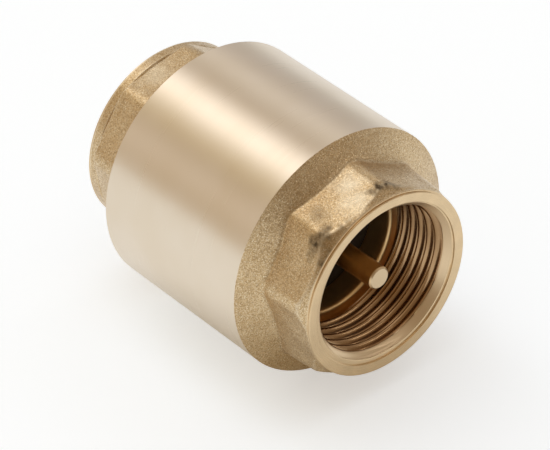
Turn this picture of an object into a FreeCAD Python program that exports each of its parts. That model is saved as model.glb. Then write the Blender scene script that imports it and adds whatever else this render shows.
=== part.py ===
import FreeCAD, Part
import math
import os

import Sketcher

# In-line spring check valve, female G 1 on both ends, in millimetres.
# The bore runs along X and the flow goes from the inlet at +X to the outlet at -X.
# The origin is on the bore axis, half way between the two end faces, and +Z is up.
#
# inlet_body and outlet_end screw together and make the pressure shell. Inside, a stem runs through
# two three-armed guides and carries the disc, its rubber seal and its clamping parts. The spring
# stands between the outlet guide and a thrust washer, and pushes the disc onto the seat.

# The driving dimensions: name in the sheet, value in millimetres, degrees or pieces.
DIMENSIONS = (
    # pressure shell, outside
    ("half_length", 33.0),
    ("barrel_radius", 26.0),
    ("end_length", 13.7),
    ("shoulder_length", 3.6),
    ("collar_radius", 19.5),
    ("inlet_collar_length", 0.8),
    ("outlet_collar_length", 3.0),
    ("collar_edge", 0.35),
    ("flat_count", 8),
    ("flat_radius", 20.4),
    ("inlet_flat_lead", 2.4),
    ("outlet_flat_lead", 0.8),
    ("inlet_flat_turn", 2.6),
    ("outlet_flat_turn", 8.0),
    ("flat_edge_round", 1.0),
    # G 1 pipe thread
    ("thread_pitch", 2.309),
    ("thread_minor", 15.1455),
    ("thread_major", 16.6245),
    ("thread_depth", 14.5),
    ("thread_mouth", 17.15),
    # inlet passage and seat
    ("passage_radius", 13.75),
    ("passage_lip", 1.7),
    ("seat_bore", 14.4),
    ("seat_depth", 20.5),
    ("seat_width", 1.8),
    ("seat_height", 1.2),
    ("seat_flare", 0.6),
    # chamber and the joint between the two shells
    ("chamber_radius", 21.9),
    ("joint_radius", 22.7),
    ("joint_length", 6.0),
    ("joint_gap", 0.2),
    ("spigot_length", 9.8),
    ("spigot_clearance", 0.05),
    ("ring_groove_start", 6.9),
    ("ring_groove_width", 2.0),
    ("ring_groove_floor", 20.6),
    ("ring_radius", 0.62),
    # outlet passage
    ("guide_pocket_radius", 19.3),
    ("guide_pocket_depth", 4.0),
    ("ledge_radius", 17.3),
    ("throat_radius", 14.5),
    ("throat_length", 2.0),
    # stem
    ("stem_recess", 2.0),
    ("stem_radius", 2.4),
    ("stem_tip_edge", 0.35),
    ("stem_collar_radius", 4.0),
    ("stem_collar_length", 0.8),
    ("stem_shank_radius", 2.5),
    ("stem_tail_radius", 2.0),
    ("stem_tail_end", 14.5),
    ("running_clearance", 0.05),
    # guides
    ("arm_count", 3),
    ("arm_turn", 75.0),
    ("inlet_arm_width", 2.4),
    ("inlet_arm_length", 2.2),
    ("inlet_hub_radius", 3.6),
    ("inlet_hub_length", 4.0),
    ("outlet_arm_width", 3.0),
    ("outlet_rim_length", 2.5),
    ("outlet_hub_radius", 5.0),
    ("outlet_hub_tail", 2.0),
    ("spring_seat_radius", 7.6),
    ("guide_clearance", 0.02),
    # disc and what is clamped to it
    ("lift", 8.0),
    ("retainer_radius", 7.5),
    ("retainer_thickness", 1.0),
    ("seal_inner", 6.0),
    ("seal_outer", 17.3),
    ("seal_thickness", 2.4),
    ("seal_clearance", 0.05),
    ("disc_radius", 18.6),
    ("disc_thickness", 5.0),
    ("disc_rim_drop", 0.5),
    ("disc_edge", 1.0),
    ("lock_washer_radius", 4.6),
    ("lock_washer_thickness", 1.1),
    ("lock_washer_clearance", 0.1),
    ("lock_washer_turn", 348.0),
    ("nut_across_flats", 8.0),
    ("nut_thickness", 4.0),
    ("nut_edge", 0.5),
    ("shank_beyond_nut", 0.6),
    # spring and its washer
    ("spring_washer_inner", 5.2),
    ("spring_washer_outer", 7.6),
    ("spring_washer_thickness", 0.6),
    ("spring_wire", 0.9),
    ("spring_mean_radius", 6.5),
    ("spring_turns", 7),
    ("spring_end_turns", 1),
)

FULL_TURN = 360.0
UPRIGHT = 90.0
QUARTERS = 4
NUT_SIDES = 6
THREAD_OVERLAP = 0.3  # how far the thread cutter reaches past the crest it cuts
OUTSIDE = 2.0  # how far a cutting outline reaches past the material it removes
HUB_TO_ARM = 0.5  # how far an arm runs into the ring around it
SPRING_POINTS_PER_TURN = 24
CLOSED_COIL_PITCH = 1.06  # pitch of the spring's closed end coils, in wire diameters
ALONG_BORE = "XY_Plane"
ACROSS_BORE = "YZ_Plane"


class Size:
    """A length or angle made from the sheet: its number now, and the expression that binds it."""

    def __init__(self, number, text):
        self.number = number
        self.text = text

    def __add__(self, other):
        return joined(self, "+", other, self.number + number_of(other))

    def __sub__(self, other):
        return joined(self, "-", other, self.number - number_of(other))

    def __mul__(self, other):
        return joined(self, "*", other, self.number * number_of(other))

    def __truediv__(self, other):
        return joined(self, "/", other, self.number / number_of(other))

    def __neg__(self):
        return self * -1


def number_of(value):
    return value.number if isinstance(value, Size) else value


def text_of(value):
    return value.text if isinstance(value, Size) else str(value)


def joined(left, sign, right, number):
    return Size(number, f"({text_of(left)} {sign} {text_of(right)})")


def constant(value):
    return Size(value, str(value))


def cosine(angle):
    return Size(math.cos(math.radians(angle.number)), f"cos({angle.text} * 1 deg)")


def sine(angle):
    return Size(math.sin(math.radians(angle.number)), f"sin({angle.text} * 1 deg)")


def size(name):
    """The sheet's value under that name, bound to its cell."""
    return Size(float(sheet.get(name)), f"Sizes.{name}")


def end_size(name, side):
    """A size that differs between the inlet end, side +1, and the outlet end, side -1."""
    return size(("inlet_" if side > 0 else "outlet_") + name)


def make_sheet():
    made = document.addObject("Spreadsheet::Sheet", "Sizes")
    for row, (name, value) in enumerate(DIMENSIONS, start=1):
        made.set(f"A{row}", name)
        made.set(f"B{row}", str(value))
        made.setAlias(f"B{row}", name)
    document.recompute()
    return made


# Building blocks


def new_body(label, along=None):
    """A PartDesign body. along is where its own origin stands on the valve's X axis."""
    body = document.addObject("PartDesign::Body", label)
    body.Label = label
    if along is not None:
        body.Placement = FreeCAD.Placement(FreeCAD.Vector(along.number, 0, 0), FreeCAD.Rotation())
        body.setExpression("Placement.Base.x", along.text)
    return body


def pin_point(sketch, edge, kind, value):
    """Binds one coordinate of the start of an edge."""
    if not isinstance(value, Size):
        axis = -2 if kind == "DistanceX" else -1
        sketch.addConstraint(Sketcher.Constraint("PointOnObject", edge, 1, axis))
        return
    index = sketch.addConstraint(Sketcher.Constraint(kind, -1, 1, edge, 1, value.number))
    name = f"{kind}{edge}"
    sketch.renameConstraint(index, name)
    sketch.setExpression(f"Constraints.{name}", value.text)


def outline(body, name, points, role=ALONG_BORE, offset=None):
    """A closed outline through the points. A coordinate is a Size, or 0 for a point on an axis."""
    sketch = body.newObject("Sketcher::SketchObject", name)
    for feature in body.Origin.OriginFeatures:
        if feature.Role == role:
            sketch.AttachmentSupport = [(feature, "")]
    sketch.MapMode = "FlatFace"
    if offset is not None:
        shift = FreeCAD.Vector(0, 0, offset.number)
        sketch.AttachmentOffset = FreeCAD.Placement(shift, FreeCAD.Rotation())
        sketch.setExpression("AttachmentOffset.Base.z", offset.text)
    corners = [FreeCAD.Vector(number_of(x), number_of(y), 0) for x, y in points]
    for edge, corner in enumerate(corners):
        following = corners[(edge + 1) % len(corners)]
        sketch.addGeometry(Part.LineSegment(corner, following), False)
    for edge, (x, y) in enumerate(points):
        following = (edge + 1) % len(corners)
        sketch.addConstraint(Sketcher.Constraint("Coincident", edge, 2, following, 1))
        pin_point(sketch, edge, "DistanceX", x)
        pin_point(sketch, edge, "DistanceY", y)
    return sketch


def turned(body, kind, name, points, angle=None):
    """A Revolution or a Groove of an outline about the bore axis."""
    sketch = outline(body, name + "_outline", points)
    feature = body.newObject("PartDesign::" + kind, name)
    feature.Profile = sketch
    feature.ReferenceAxis = (sketch, ["H_Axis"])
    feature.Angle = FULL_TURN
    if angle is not None:
        feature.Angle = angle.number
        feature.setExpression("Angle", angle.text)
    feature.Refine = False
    document.recompute()
    return feature


def padded(body, name, points, length, reverse=False, offset=None):
    """A pad of an outline that lies across the bore."""
    sketch = outline(body, name + "_outline", points, ACROSS_BORE, offset)
    pad = body.newObject("PartDesign::Pad", name)
    pad.Profile = sketch
    pad.Length = length.number
    pad.setExpression("Length", length.text)
    pad.Reversed = reverse
    pad.Refine = False
    document.recompute()
    return pad


def repeated(body, name, feature, axis, count):
    """The feature repeated evenly about the bore axis, which its sketch calls H_Axis or N_Axis."""
    pattern = body.newObject("PartDesign::PolarPattern", name)
    pattern.Originals = [feature]
    pattern.Axis = (feature.Profile[0], [axis])
    pattern.Angle = FULL_TURN
    pattern.Occurrences = round(count.number)
    pattern.setExpression("Occurrences", count.text)
    pattern.Refine = False
    body.Tip = pattern
    document.recompute()
    return pattern


def polygon(flat_radius, sides, first_corner):
    """The corners of a regular polygon across the bore. Angles run from +Y towards +Z."""
    corner_radius = flat_radius / cosine(constant(FULL_TURN / 2) / sides)
    corners = []
    for number in range(round(number_of(sides))):
        angle = first_corner + constant(FULL_TURN * number) / sides
        corners.append((corner_radius * cosine(angle), corner_radius * sine(angle)))
    return corners, corner_radius


def ring(label, front, inner, outer, thickness, angle=None):
    """A flat ring whose upstream face stands at front."""
    body = new_body(label, front)
    points = [
        (0, inner),
        (0, outer),
        (-thickness, outer),
        (-thickness, inner),
    ]
    turned(body, "Revolution", "ring", points, angle)
    return body


# Places along the bore


def seat_face():
    return size("half_length") - size("seat_depth")


def disc_back():
    return seat_face() - size("disc_thickness")


def nut_back():
    return disc_back() - size("lock_washer_thickness") - size("nut_thickness")


def shank_end():
    return nut_back() - size("shank_beyond_nut")


def flange_face():
    return size("end_length") - size("half_length")


def pocket_floor():
    return flange_face() + size("spigot_length") - size("guide_pocket_depth")


# Pressure shell


def end_outline(side):
    """The outside of one end from the barrel to the axis. side is +1 for the inlet, -1 for the outlet."""
    face = size("half_length") * side
    barrel_edge = face - size("end_length") * side
    return [
        (barrel_edge, size("barrel_radius")),
        (barrel_edge + size("shoulder_length") * side, size("collar_radius")),
        (face - size("collar_edge") * side, size("collar_radius")),
        (face, size("collar_radius") - size("collar_edge")),
        (face, 0),
    ]


def add_flats(body, side):
    """The spanner flats between the shoulder and the collar, with their lead and rounded corners."""
    face = size("half_length") * side
    first_corner = constant(UPRIGHT) - end_size("flat_turn", side)
    corners, corner_radius = polygon(size("flat_radius"), size("flat_count"), first_corner)
    collar_length = end_size("collar_length", side)
    length = size("end_length") - collar_length
    padded(body, "flats", corners, length, side < 0, face - size("end_length") * side)

    collar_start = face - collar_length * side
    lead_length = end_size("flat_lead", side)
    slope = lead_length / (corner_radius - size("collar_radius"))
    lead_points = [
        (collar_start, size("collar_radius")),
        (collar_start - (lead_length + slope * OUTSIDE) * side, corner_radius + OUTSIDE),
        (collar_start, corner_radius + OUTSIDE),
    ]
    lead = turned(body, "Groove", "flat_lead", lead_points)

    names = []
    for number, edge in enumerate(lead.Shape.Edges, start=1):
        middle = edge.valueAt((edge.FirstParameter + edge.LastParameter) / 2)
        along_bore = abs(edge.tangentAt(edge.FirstParameter).x) > 0.999
        if along_bore and abs(math.hypot(middle.y, middle.z) - corner_radius.number) < 0.01:
            names.append(f"Edge{number}")
    rounding = body.newObject("PartDesign::Fillet", "flat_corner_round")
    rounding.Base = (lead, names)
    rounding.Radius = size("flat_edge_round").number
    rounding.setExpression("Radius", size("flat_edge_round").text)
    document.recompute()


def cut_socket(body, side):
    """The G 1 socket: the bore with its lead-in, then the helical groove from outside the face."""
    face = size("half_length") * side
    minor = size("thread_minor")
    mouth = size("thread_mouth")
    floor = face - size("thread_depth") * side
    bore_points = [
        (face, 0),
        (face, mouth),
        (face - (mouth - minor) * side, minor),
        (floor, minor),
        (floor, 0),
    ]
    # turned a quarter at a time, so that no crest face winds round more than a quarter turn
    quarter = turned(body, "Groove", "socket", bore_points, constant(FULL_TURN / QUARTERS))
    repeated(body, "socket_quarters", quarter, "H_Axis", constant(QUARTERS))

    pitch = size("thread_pitch")
    start = face + pitch * side
    root_half = pitch / 12
    crest_half = pitch / 2 - root_half
    depth = size("thread_major") - minor
    reach = (crest_half - root_half) / depth * THREAD_OVERLAP
    groove_points = [
        (start - crest_half - reach, minor - THREAD_OVERLAP),
        (start - root_half, size("thread_major")),
        (start + root_half, size("thread_major")),
        (start + crest_half + reach, minor - THREAD_OVERLAP),
    ]
    sketch = outline(body, "thread_outline", groove_points)
    thread = body.newObject("PartDesign::SubtractiveHelix", "thread")
    thread.Profile = sketch
    thread.ReferenceAxis = (sketch, ["H_Axis"])
    thread.Mode = 0
    thread.Pitch = pitch.number
    thread.setExpression("Pitch", pitch.text)
    height = size("thread_depth") + pitch / 2
    thread.Height = height.number
    thread.setExpression("Height", height.text)
    thread.Reversed = side > 0
    thread.Refine = False
    document.recompute()


def make_inlet_body():
    """The inlet end and the barrel, with the seat and the chamber behind it."""
    body = new_body("inlet_body")
    barrel_rear = flange_face()
    outside = [(barrel_rear, 0), (barrel_rear, size("barrel_radius"))] + end_outline(1)
    turned(body, "Revolution", "outside", outside)
    add_flats(body, 1)

    socket_floor = size("half_length") - size("thread_depth")
    ledge = socket_floor - size("passage_lip")
    seat = seat_face()
    wall = seat + size("seat_height")
    lip_outer = size("seat_bore") + size("seat_width")
    joint_end = barrel_rear + size("joint_length")
    inside = [
        (socket_floor, 0),
        (socket_floor, size("passage_radius")),
        (ledge, size("passage_radius")),
        (ledge, size("seat_bore")),
        (seat, size("seat_bore")),
        (seat, lip_outer),
        (wall, lip_outer + size("seat_flare")),
        (wall, size("chamber_radius")),
        (joint_end, size("chamber_radius")),
        (joint_end, size("joint_radius")),
        (barrel_rear, size("joint_radius")),
        (barrel_rear, 0),
    ]
    turned(body, "Groove", "chamber", inside)
    cut_socket(body, 1)
    return body


def make_outlet_end():
    """The outlet end, whose spigot screws into the barrel and holds the outlet guide."""
    body = new_body("outlet_end")
    flange = flange_face()
    tip = flange + size("spigot_length")
    land = size("chamber_radius") - size("spigot_clearance")
    joint_end = flange + size("joint_length") - size("joint_gap")
    groove_start = flange + size("ring_groove_start")
    groove_end = groove_start + size("ring_groove_width")
    spigot = [
        (tip, 0),
        (tip, land),
        (groove_end, land),
        (groove_end, size("ring_groove_floor")),
        (groove_start, size("ring_groove_floor")),
        (groove_start, land),
        (joint_end, land),
        (joint_end, size("joint_radius")),
        (flange, size("joint_radius")),
    ]
    turned(body, "Revolution", "outside", spigot + end_outline(-1))
    add_flats(body, -1)

    socket_floor = size("thread_depth") - size("half_length")
    throat_front = socket_floor + size("throat_length")
    pocket = pocket_floor()
    inside = [
        (tip, 0),
        (tip, size("guide_pocket_radius")),
        (pocket, size("guide_pocket_radius")),
        (pocket, size("ledge_radius")),
        (throat_front, size("throat_radius")),
        (socket_floor, size("throat_radius")),
        (socket_floor, 0),
    ]
    turned(body, "Groove", "passage", inside)
    cut_socket(body, -1)
    return body


def make_body_o_ring():
    """The ring that seals the joint between the two shells."""
    label = "body_o_ring"
    floor = size("ring_groove_floor")
    bore = size("chamber_radius")
    centre = flange_face() + size("ring_groove_start") + size("ring_groove_width") / 2
    across = FreeCAD.Rotation(FreeCAD.Vector(0, 1, 0), UPRIGHT)
    torus = document.addObject("Part::Torus", label)
    torus.Label = label
    torus.Radius1 = ((floor + bore) / 2).number
    torus.setExpression("Radius1", ((floor + bore) / 2).text)
    torus.Radius2 = size("ring_radius").number
    torus.setExpression("Radius2", size("ring_radius").text)
    torus.Placement = FreeCAD.Placement(FreeCAD.Vector(centre.number, 0, 0), across)
    torus.setExpression("Placement.Base.x", centre.text)
    return torus


# Guides


def add_arms(body, width, reach, length, reverse):
    """The arms, from the axis out to reach. The first is turned from +Z towards +Y."""
    turn = size("arm_turn")
    half = width / 2
    along_y = sine(turn)
    along_z = cosine(turn)
    points = [
        (-half * along_z, half * along_y),
        (half * along_z, -half * along_y),
        (reach * along_y + half * along_z, reach * along_z - half * along_y),
        (reach * along_y - half * along_z, reach * along_z + half * along_y),
    ]
    arm = padded(body, "arm", points, length, reverse)
    repeated(body, "arms", arm, "N_Axis", size("arm_count"))


def make_inlet_guide():
    """The three-armed guide pressed into the passage. Its own origin is on the ledge it stands against."""
    ledge = size("half_length") - size("thread_depth") - size("passage_lip")
    body = new_body("inlet_guide", ledge)
    arm_length = size("inlet_arm_length")
    hub_front = size("inlet_hub_length") - arm_length
    rim = size("seat_bore")
    bore = size("stem_radius") + size("running_clearance")
    add_arms(body, size("inlet_arm_width"), rim + OUTSIDE, arm_length, True)
    trim = [
        (constant(OUTSIDE), rim),
        (constant(OUTSIDE), rim + OUTSIDE * 2),
        (-arm_length - OUTSIDE, rim + OUTSIDE * 2),
        (-arm_length - OUTSIDE, rim),
    ]
    turned(body, "Groove", "rim_trim", trim)
    hub = [
        (hub_front, 0),
        (hub_front, size("inlet_hub_radius")),
        (-arm_length, size("inlet_hub_radius")),
        (-arm_length, 0),
    ]
    turned(body, "Revolution", "hub", hub)
    drill = [
        (hub_front, 0),
        (hub_front, bore),
        (-arm_length, bore),
        (-arm_length, 0),
    ]
    turned(body, "Groove", "stem_bore", drill)
    return body


def make_outlet_guide():
    """The guide in the outlet end. Its own origin is on the pocket's floor, where its rim stands."""
    pocket = pocket_floor()
    body = new_body("outlet_guide", pocket)
    rim_length = size("outlet_rim_length")
    hub_front = shank_end() - size("lift") - pocket
    hub_tail = -size("outlet_hub_tail")
    rim_outer = size("guide_pocket_radius") - size("guide_clearance")
    bore = size("stem_tail_radius") + size("running_clearance")
    add_arms(body, size("outlet_arm_width"), size("ledge_radius") + HUB_TO_ARM, rim_length, False)
    hub = [
        (hub_tail, 0),
        (hub_tail, size("outlet_hub_radius")),
        (0, size("outlet_hub_radius")),
        (0, size("spring_seat_radius")),
        (rim_length, size("spring_seat_radius")),
        (rim_length, size("outlet_hub_radius")),
        (hub_front, size("outlet_hub_radius")),
        (hub_front, 0),
    ]
    turned(body, "Revolution", "hub", hub)
    rim = [
        (0, size("ledge_radius")),
        (0, rim_outer),
        (rim_length, rim_outer),
        (rim_length, size("ledge_radius")),
    ]
    turned(body, "Revolution", "rim", rim)
    drill = [
        (hub_tail, 0),
        (hub_tail, bore),
        (hub_front, bore),
        (hub_front, 0),
    ]
    turned(body, "Groove", "stem_bore", drill)
    return body


# Moving parts


def make_stem():
    """The stem: guided rod, clamping collar, shank for the nut, and guided tail."""
    tip = size("half_length") - size("stem_recess")
    body = new_body("stem")
    collar_rear = seat_face() + size("retainer_thickness")
    collar_front = collar_rear + size("stem_collar_length")
    tail_end = -size("stem_tail_end")
    edge = size("stem_tip_edge")
    points = [
        (tip, 0),
        (tip, size("stem_radius") - edge),
        (tip - edge, size("stem_radius")),
        (collar_front, size("stem_radius")),
        (collar_front, size("stem_collar_radius")),
        (collar_rear, size("stem_collar_radius")),
        (collar_rear, size("stem_shank_radius")),
        (shank_end(), size("stem_shank_radius")),
        (shank_end(), size("stem_tail_radius")),
        (tail_end + edge, size("stem_tail_radius")),
        (tail_end, size("stem_tail_radius") - edge),
        (tail_end, 0),
    ]
    turned(body, "Revolution", "turning", points)
    return body


def make_valve_disc():
    """The disc, with a recess for the seal. Its own origin is in the plane of the seal's face."""
    body = new_body("valve_disc", seat_face())
    recess = -size("seal_thickness")
    rim = -size("disc_rim_drop")
    back = -size("disc_thickness")
    points = [
        (0, size("stem_shank_radius")),
        (0, size("seal_inner")),
        (recess, size("seal_inner")),
        (recess, size("seal_outer")),
        (rim, size("seal_outer")),
        (rim, size("disc_radius")),
        (back + size("disc_edge"), size("disc_radius")),
        (back, size("disc_radius") - size("disc_edge")),
        (back, size("stem_shank_radius")),
    ]
    turned(body, "Revolution", "turning", points)
    return body


def make_disc_nut():
    """The hexagon nut that clamps the disc. Its own origin is on its upstream face."""
    body = new_body("disc_nut", disc_back() - size("lock_washer_thickness"))
    thickness = size("nut_thickness")
    flat = size("nut_across_flats") / 2
    corners, corner_radius = polygon(flat, constant(NUT_SIDES), constant(UPRIGHT))
    padded(body, "hexagon", corners, thickness, True)
    drill = [
        (0, 0),
        (0, size("stem_shank_radius")),
        (-thickness, size("stem_shank_radius")),
        (-thickness, 0),
    ]
    turned(body, "Groove", "shank_bore", drill)
    edge = size("nut_edge")
    slope = (corner_radius - flat) / edge
    for name, face, inward in (("front_edge", constant(0.0), -1), ("back_edge", -thickness, 1)):
        cut = [
            (face, flat),
            (face + (edge + OUTSIDE) * inward, flat + slope * (edge + OUTSIDE)),
            (face, flat + slope * (edge + OUTSIDE)),
        ]
        turned(body, "Groove", name, cut)
    return body


def make_spring():
    """The compression spring at its length with the valve shut, with a closed coil at each end."""
    label = "spring"
    wire = size("spring_wire").number
    radius = size("spring_mean_radius").number
    turns = size("spring_turns").number
    end_turns = size("spring_end_turns").number
    fixed_end = (pocket_floor() + size("outlet_rim_length")).number
    moving_end = (disc_back() - size("spring_washer_thickness")).number
    closed_pitch = wire * CLOSED_COIL_PITCH
    open_turns = turns - 2 * end_turns
    open_length = moving_end - fixed_end - wire - 2 * end_turns * closed_pitch
    points = []
    for step in range(round(turns * SPRING_POINTS_PER_TURN) + 1):
        turn = step / SPRING_POINTS_PER_TURN
        closed = min(turn, end_turns) + max(turn - turns + end_turns, 0)
        opened = min(max(turn - end_turns, 0), open_turns)
        along = fixed_end + wire / 2 + closed * closed_pitch + opened * open_length / open_turns
        angle = math.tau * turn
        points.append(FreeCAD.Vector(along, radius * math.sin(angle), radius * math.cos(angle)))
    curve = Part.BSplineCurve()
    curve.interpolate(points)
    path = Part.Wire(curve.toShape())
    section = Part.Wire(Part.makeCircle(wire / 2, points[0], curve.tangent(curve.FirstParameter)[0]))
    spring = document.addObject("Part::Feature", label)
    spring.Label = label
    spring.Shape = path.makePipeShell([section], True, True)
    return spring


def make_parts():
    disc_front = seat_face()
    washer_front = disc_back()
    clamped_radius = size("stem_shank_radius")
    parts = [
        make_inlet_body(),
        make_outlet_end(),
        make_body_o_ring(),
        make_inlet_guide(),
        make_outlet_guide(),
        make_stem(),
        make_valve_disc(),
        make_disc_nut(),
        make_spring(),
    ]
    parts.append(
        ring(
            "seal_retainer",
            disc_front + size("retainer_thickness"),
            clamped_radius,
            size("retainer_radius"),
            size("retainer_thickness"),
        )
    )
    parts.append(
        ring(
            "seat_seal",
            disc_front,
            size("seal_inner") + size("seal_clearance"),
            size("seal_outer") - size("seal_clearance"),
            size("seal_thickness"),
        )
    )
    parts.append(
        ring(
            "lock_washer",
            washer_front,
            clamped_radius + size("lock_washer_clearance"),
            size("lock_washer_radius"),
            size("lock_washer_thickness"),
            size("lock_washer_turn"),
        )
    )
    parts.append(
        ring(
            "spring_washer",
            washer_front,
            size("spring_washer_inner"),
            size("spring_washer_outer"),
            size("spring_washer_thickness"),
        )
    )
    return parts


def check(parts):
    """Stops on a feature that failed to compute, or on a part with no valid solid."""
    for item in document.Objects:
        if "Invalid" in item.State or "Error" in item.State:
            raise RuntimeError(f"{item.Label} failed: {item.State}")
    for item in parts:
        if item.Shape.isNull() or not item.Shape.isValid() or not item.Shape.Solids:
            raise RuntimeError(f"{item.Label} has no valid solid")


def write(parts):
    os.makedirs("parts", exist_ok=True)
    for item in parts:
        item.Shape.exportStep(os.path.join("parts", item.Label + ".step"))


document = FreeCAD.newDocument("check_valve")
sheet = make_sheet()
all_parts = make_parts()
document.recompute()
check(all_parts)
write(all_parts)
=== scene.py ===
import math

import bmesh
import bpy
import numpy as np
from mathutils import Matrix, Vector, noise


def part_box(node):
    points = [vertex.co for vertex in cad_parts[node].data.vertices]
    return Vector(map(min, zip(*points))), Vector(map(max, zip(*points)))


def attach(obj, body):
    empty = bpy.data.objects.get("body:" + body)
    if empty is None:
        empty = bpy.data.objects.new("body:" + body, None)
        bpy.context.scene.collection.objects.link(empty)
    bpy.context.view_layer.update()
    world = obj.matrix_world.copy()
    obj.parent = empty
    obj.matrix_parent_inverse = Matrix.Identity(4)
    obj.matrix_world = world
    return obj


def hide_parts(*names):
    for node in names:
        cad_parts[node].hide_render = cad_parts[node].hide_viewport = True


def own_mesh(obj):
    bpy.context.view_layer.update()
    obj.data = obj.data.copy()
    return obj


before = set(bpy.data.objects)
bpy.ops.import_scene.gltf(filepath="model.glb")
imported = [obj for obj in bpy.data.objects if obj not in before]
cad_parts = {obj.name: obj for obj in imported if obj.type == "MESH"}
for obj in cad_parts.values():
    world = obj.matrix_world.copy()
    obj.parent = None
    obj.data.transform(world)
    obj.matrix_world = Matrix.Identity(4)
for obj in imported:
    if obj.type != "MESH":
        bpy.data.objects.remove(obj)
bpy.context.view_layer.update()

# In-line spring check valve, G 1. The bore runs along X, the inlet is at +X and +Z is up.
# Lengths are in millimetres and become metres in the meshes. Angles are in degrees from +Z towards +Y.
MM = 0.001
INLET = 1
OUTLET = -1

# Pressure shell, outside
HALF_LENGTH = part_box("inlet_body")[1].x / MM
BARREL_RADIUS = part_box("inlet_body")[1].z / MM
BARREL_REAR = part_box("inlet_body")[0].x / MM
BARREL_FRONT = -BARREL_REAR
BARREL_EDGE = 0.12
BARREL_ROWS = 25
END_LENGTH = HALF_LENGTH - BARREL_FRONT
SHOULDER_SLOPE = 1.8
SHOULDER_ROUND = 0.8
COLLAR_RADIUS = 19.5
COLLAR_LENGTH = {INLET: 0.8, OUTLET: 3.0}
FLAT_RADIUS = 20.4
FLAT_COUNT = 8
FLAT_LEAD = {INLET: 2.4, OUTLET: 0.6}
FLAT_TURN = {INLET: 2.6, OUTLET: 8.0}
CORNER_RADIUS = FLAT_RADIUS / math.cos(math.pi / FLAT_COUNT)
CORNER_ROUND = 1.3
LEAD_ROUND = {INLET: 0.45, OUTLET: 0.12}
DRAFT = 0.07
DRAFT_START = 3.0
FORGED_END = 0.6

# The line left by the die between the outlet's flats and its collar, deepest at CREASE_TURN
CREASE_DEPTH = {INLET: 0.0, OUTLET: 0.45}
CREASE_WIDTH = 0.26
CREASE_TURN = -45.0
CREASE_CHANGE = 0.4
CREASE_PLACE = 0.1

# What came out of the die off its true place: corner number, then degrees and millimetres
CORNER_SHIFTS = {
    INLET: {0: (-0.4, 0.0), 1: (-5.0, -1.0), 6: (5.4, -0.3), 7: (0.9, 0.0)},
    OUTLET: {1: (-2.0, -0.4), 6: (4.5, -0.2)},
}
# Shallow dents in the forging: place along the bore, angle, width, depth
DENTS = {
    INLET: (
        (28.3, -34.0, 2.4, 0.16),
        (27.0, -66.0, 3.0, 0.10),
        (29.8, 14.0, 1.6, 0.12),
        (26.0, 150.0, 3.0, 0.12),
    ),
    OUTLET: (
        (-27.0, 30.0, 2.6, 0.12),
        (-25.5, -60.0, 2.4, 0.10),
        (-28.0, 170.0, 3.0, 0.14),
    ),
}
# Unevenness of the forged skin: height, size of a lump, place in the noise
LUMPS = ((0.06, 3.1, 7.0), (0.025, 1.1, 3.0))
LUMPS_FADE_IN = 0.8
LUMPS_FADE_OUT = 1.0

# The rim was turned a little off the forging's centre: distance, angle. The forging stands proud on one side.
RIM_OFFSET = {INLET: (0.45, 155.0), OUTLET: (0.15, 40.0)}
RIM_LENGTH = 0.34
RIM_EDGE = 0.14
RIM_EDGE_ROUND = 0.20
STEP_HEIGHT = 0.38
STEP_TURN = -10.0
COUNTERBORE = 17.4
COUNTERBORE_OFFSET = {INLET: 0.2, OUTLET: 0.0}
COUNTERBORE_DEPTH = 0.34

# G 1 pipe thread: a Whitworth form, with worn crests
PITCH = 2.309
WHITWORTH_HEIGHT = 0.960491 * PITCH
WHITWORTH_CUT = WHITWORTH_HEIGHT / 6
THREAD_CREST = 15.38
THREAD_MAJOR = 16.6245
THREAD_DEPTH = 14.5
THREAD_START = 0.45
CREST_ROUND = 0.7
ROOT_ROUND = 0.5
# The lead-in cone would meet the face at this radius. It was cut off centre: distance, angle.
MOUTH_RADIUS = 17.1
MOUTH_OFFSET = {INLET: 0.3, OUTLET: 0.0}
MOUTH_TURN = 75.0

# Inside of the inlet body
PASSAGE_RADIUS = 13.75
PASSAGE_LIP = 1.7
LIP_ROUND = 0.8
LIP_ROWS = 7
SEAT_BORE = 14.4
SEAT_FACE = HALF_LENGTH - 20.5
SEAT_EDGE = 0.15
SEAT_WIDTH = 1.8
SEAT_HEIGHT = 1.2
SEAT_FLARE = 0.6
CHAMBER_RADIUS = 21.9
JOINT_RADIUS = 22.7
JOINT_LENGTH = 6.0
JOINT_GAP = 0.2

# Inside of the outlet end
SPIGOT_LENGTH = 9.8
SPIGOT_RADIUS = CHAMBER_RADIUS - 0.05
RING_GROOVE_START = 6.9
RING_GROOVE_WIDTH = 2.0
RING_GROOVE_FLOOR = 20.6
GUIDE_POCKET_RADIUS = 19.3
GUIDE_POCKET_DEPTH = 4.0
LEDGE_RADIUS = 17.3
THROAT_RADIUS = 14.5
THROAT_LENGTH = 2.0
THROAT_EDGE = 0.12

# Spring
WIRE_RADIUS = 0.45
SPRING_TURNS = 7
CLOSED_PITCH = 2.12 * WIRE_RADIUS

# How finely the meshes are cut
COLUMNS_PER_HALF_FLAT = 24
COLUMN_CROWDING = 0.4
FORGED_ROW = 0.24
CREASE_ROW = 0.07
ROWS_PER_TURN = 16
STEPS_PER_COIL = 48
WIRE_SIDES = 14

SLOTS = {"turned": 0, "blasted": 1, "machined": 2, "thread": 3, "bore": 4}


# Skins


def column_angles():
    """Angles round the bore, closer together at the corners of the flats."""
    steps = np.arange(-COLUMNS_PER_HALF_FLAT, COLUMNS_PER_HALF_FLAT) / COLUMNS_PER_HALF_FLAT
    half_flat = math.pi / FLAT_COUNT
    local = half_flat * ((1 - COLUMN_CROWDING) * steps + COLUMN_CROWDING * steps**3)
    corners = np.radians(FLAT_TURN[INLET]) + np.arange(FLAT_COUNT) * 2 * half_flat
    return (corners[:, None] + local[None, :]).ravel()


ANGLES = column_angles()


def toward(degrees):
    """1 on the side that faces that angle, -1 on the far side."""
    return np.cos(ANGLES - math.radians(degrees))


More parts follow.
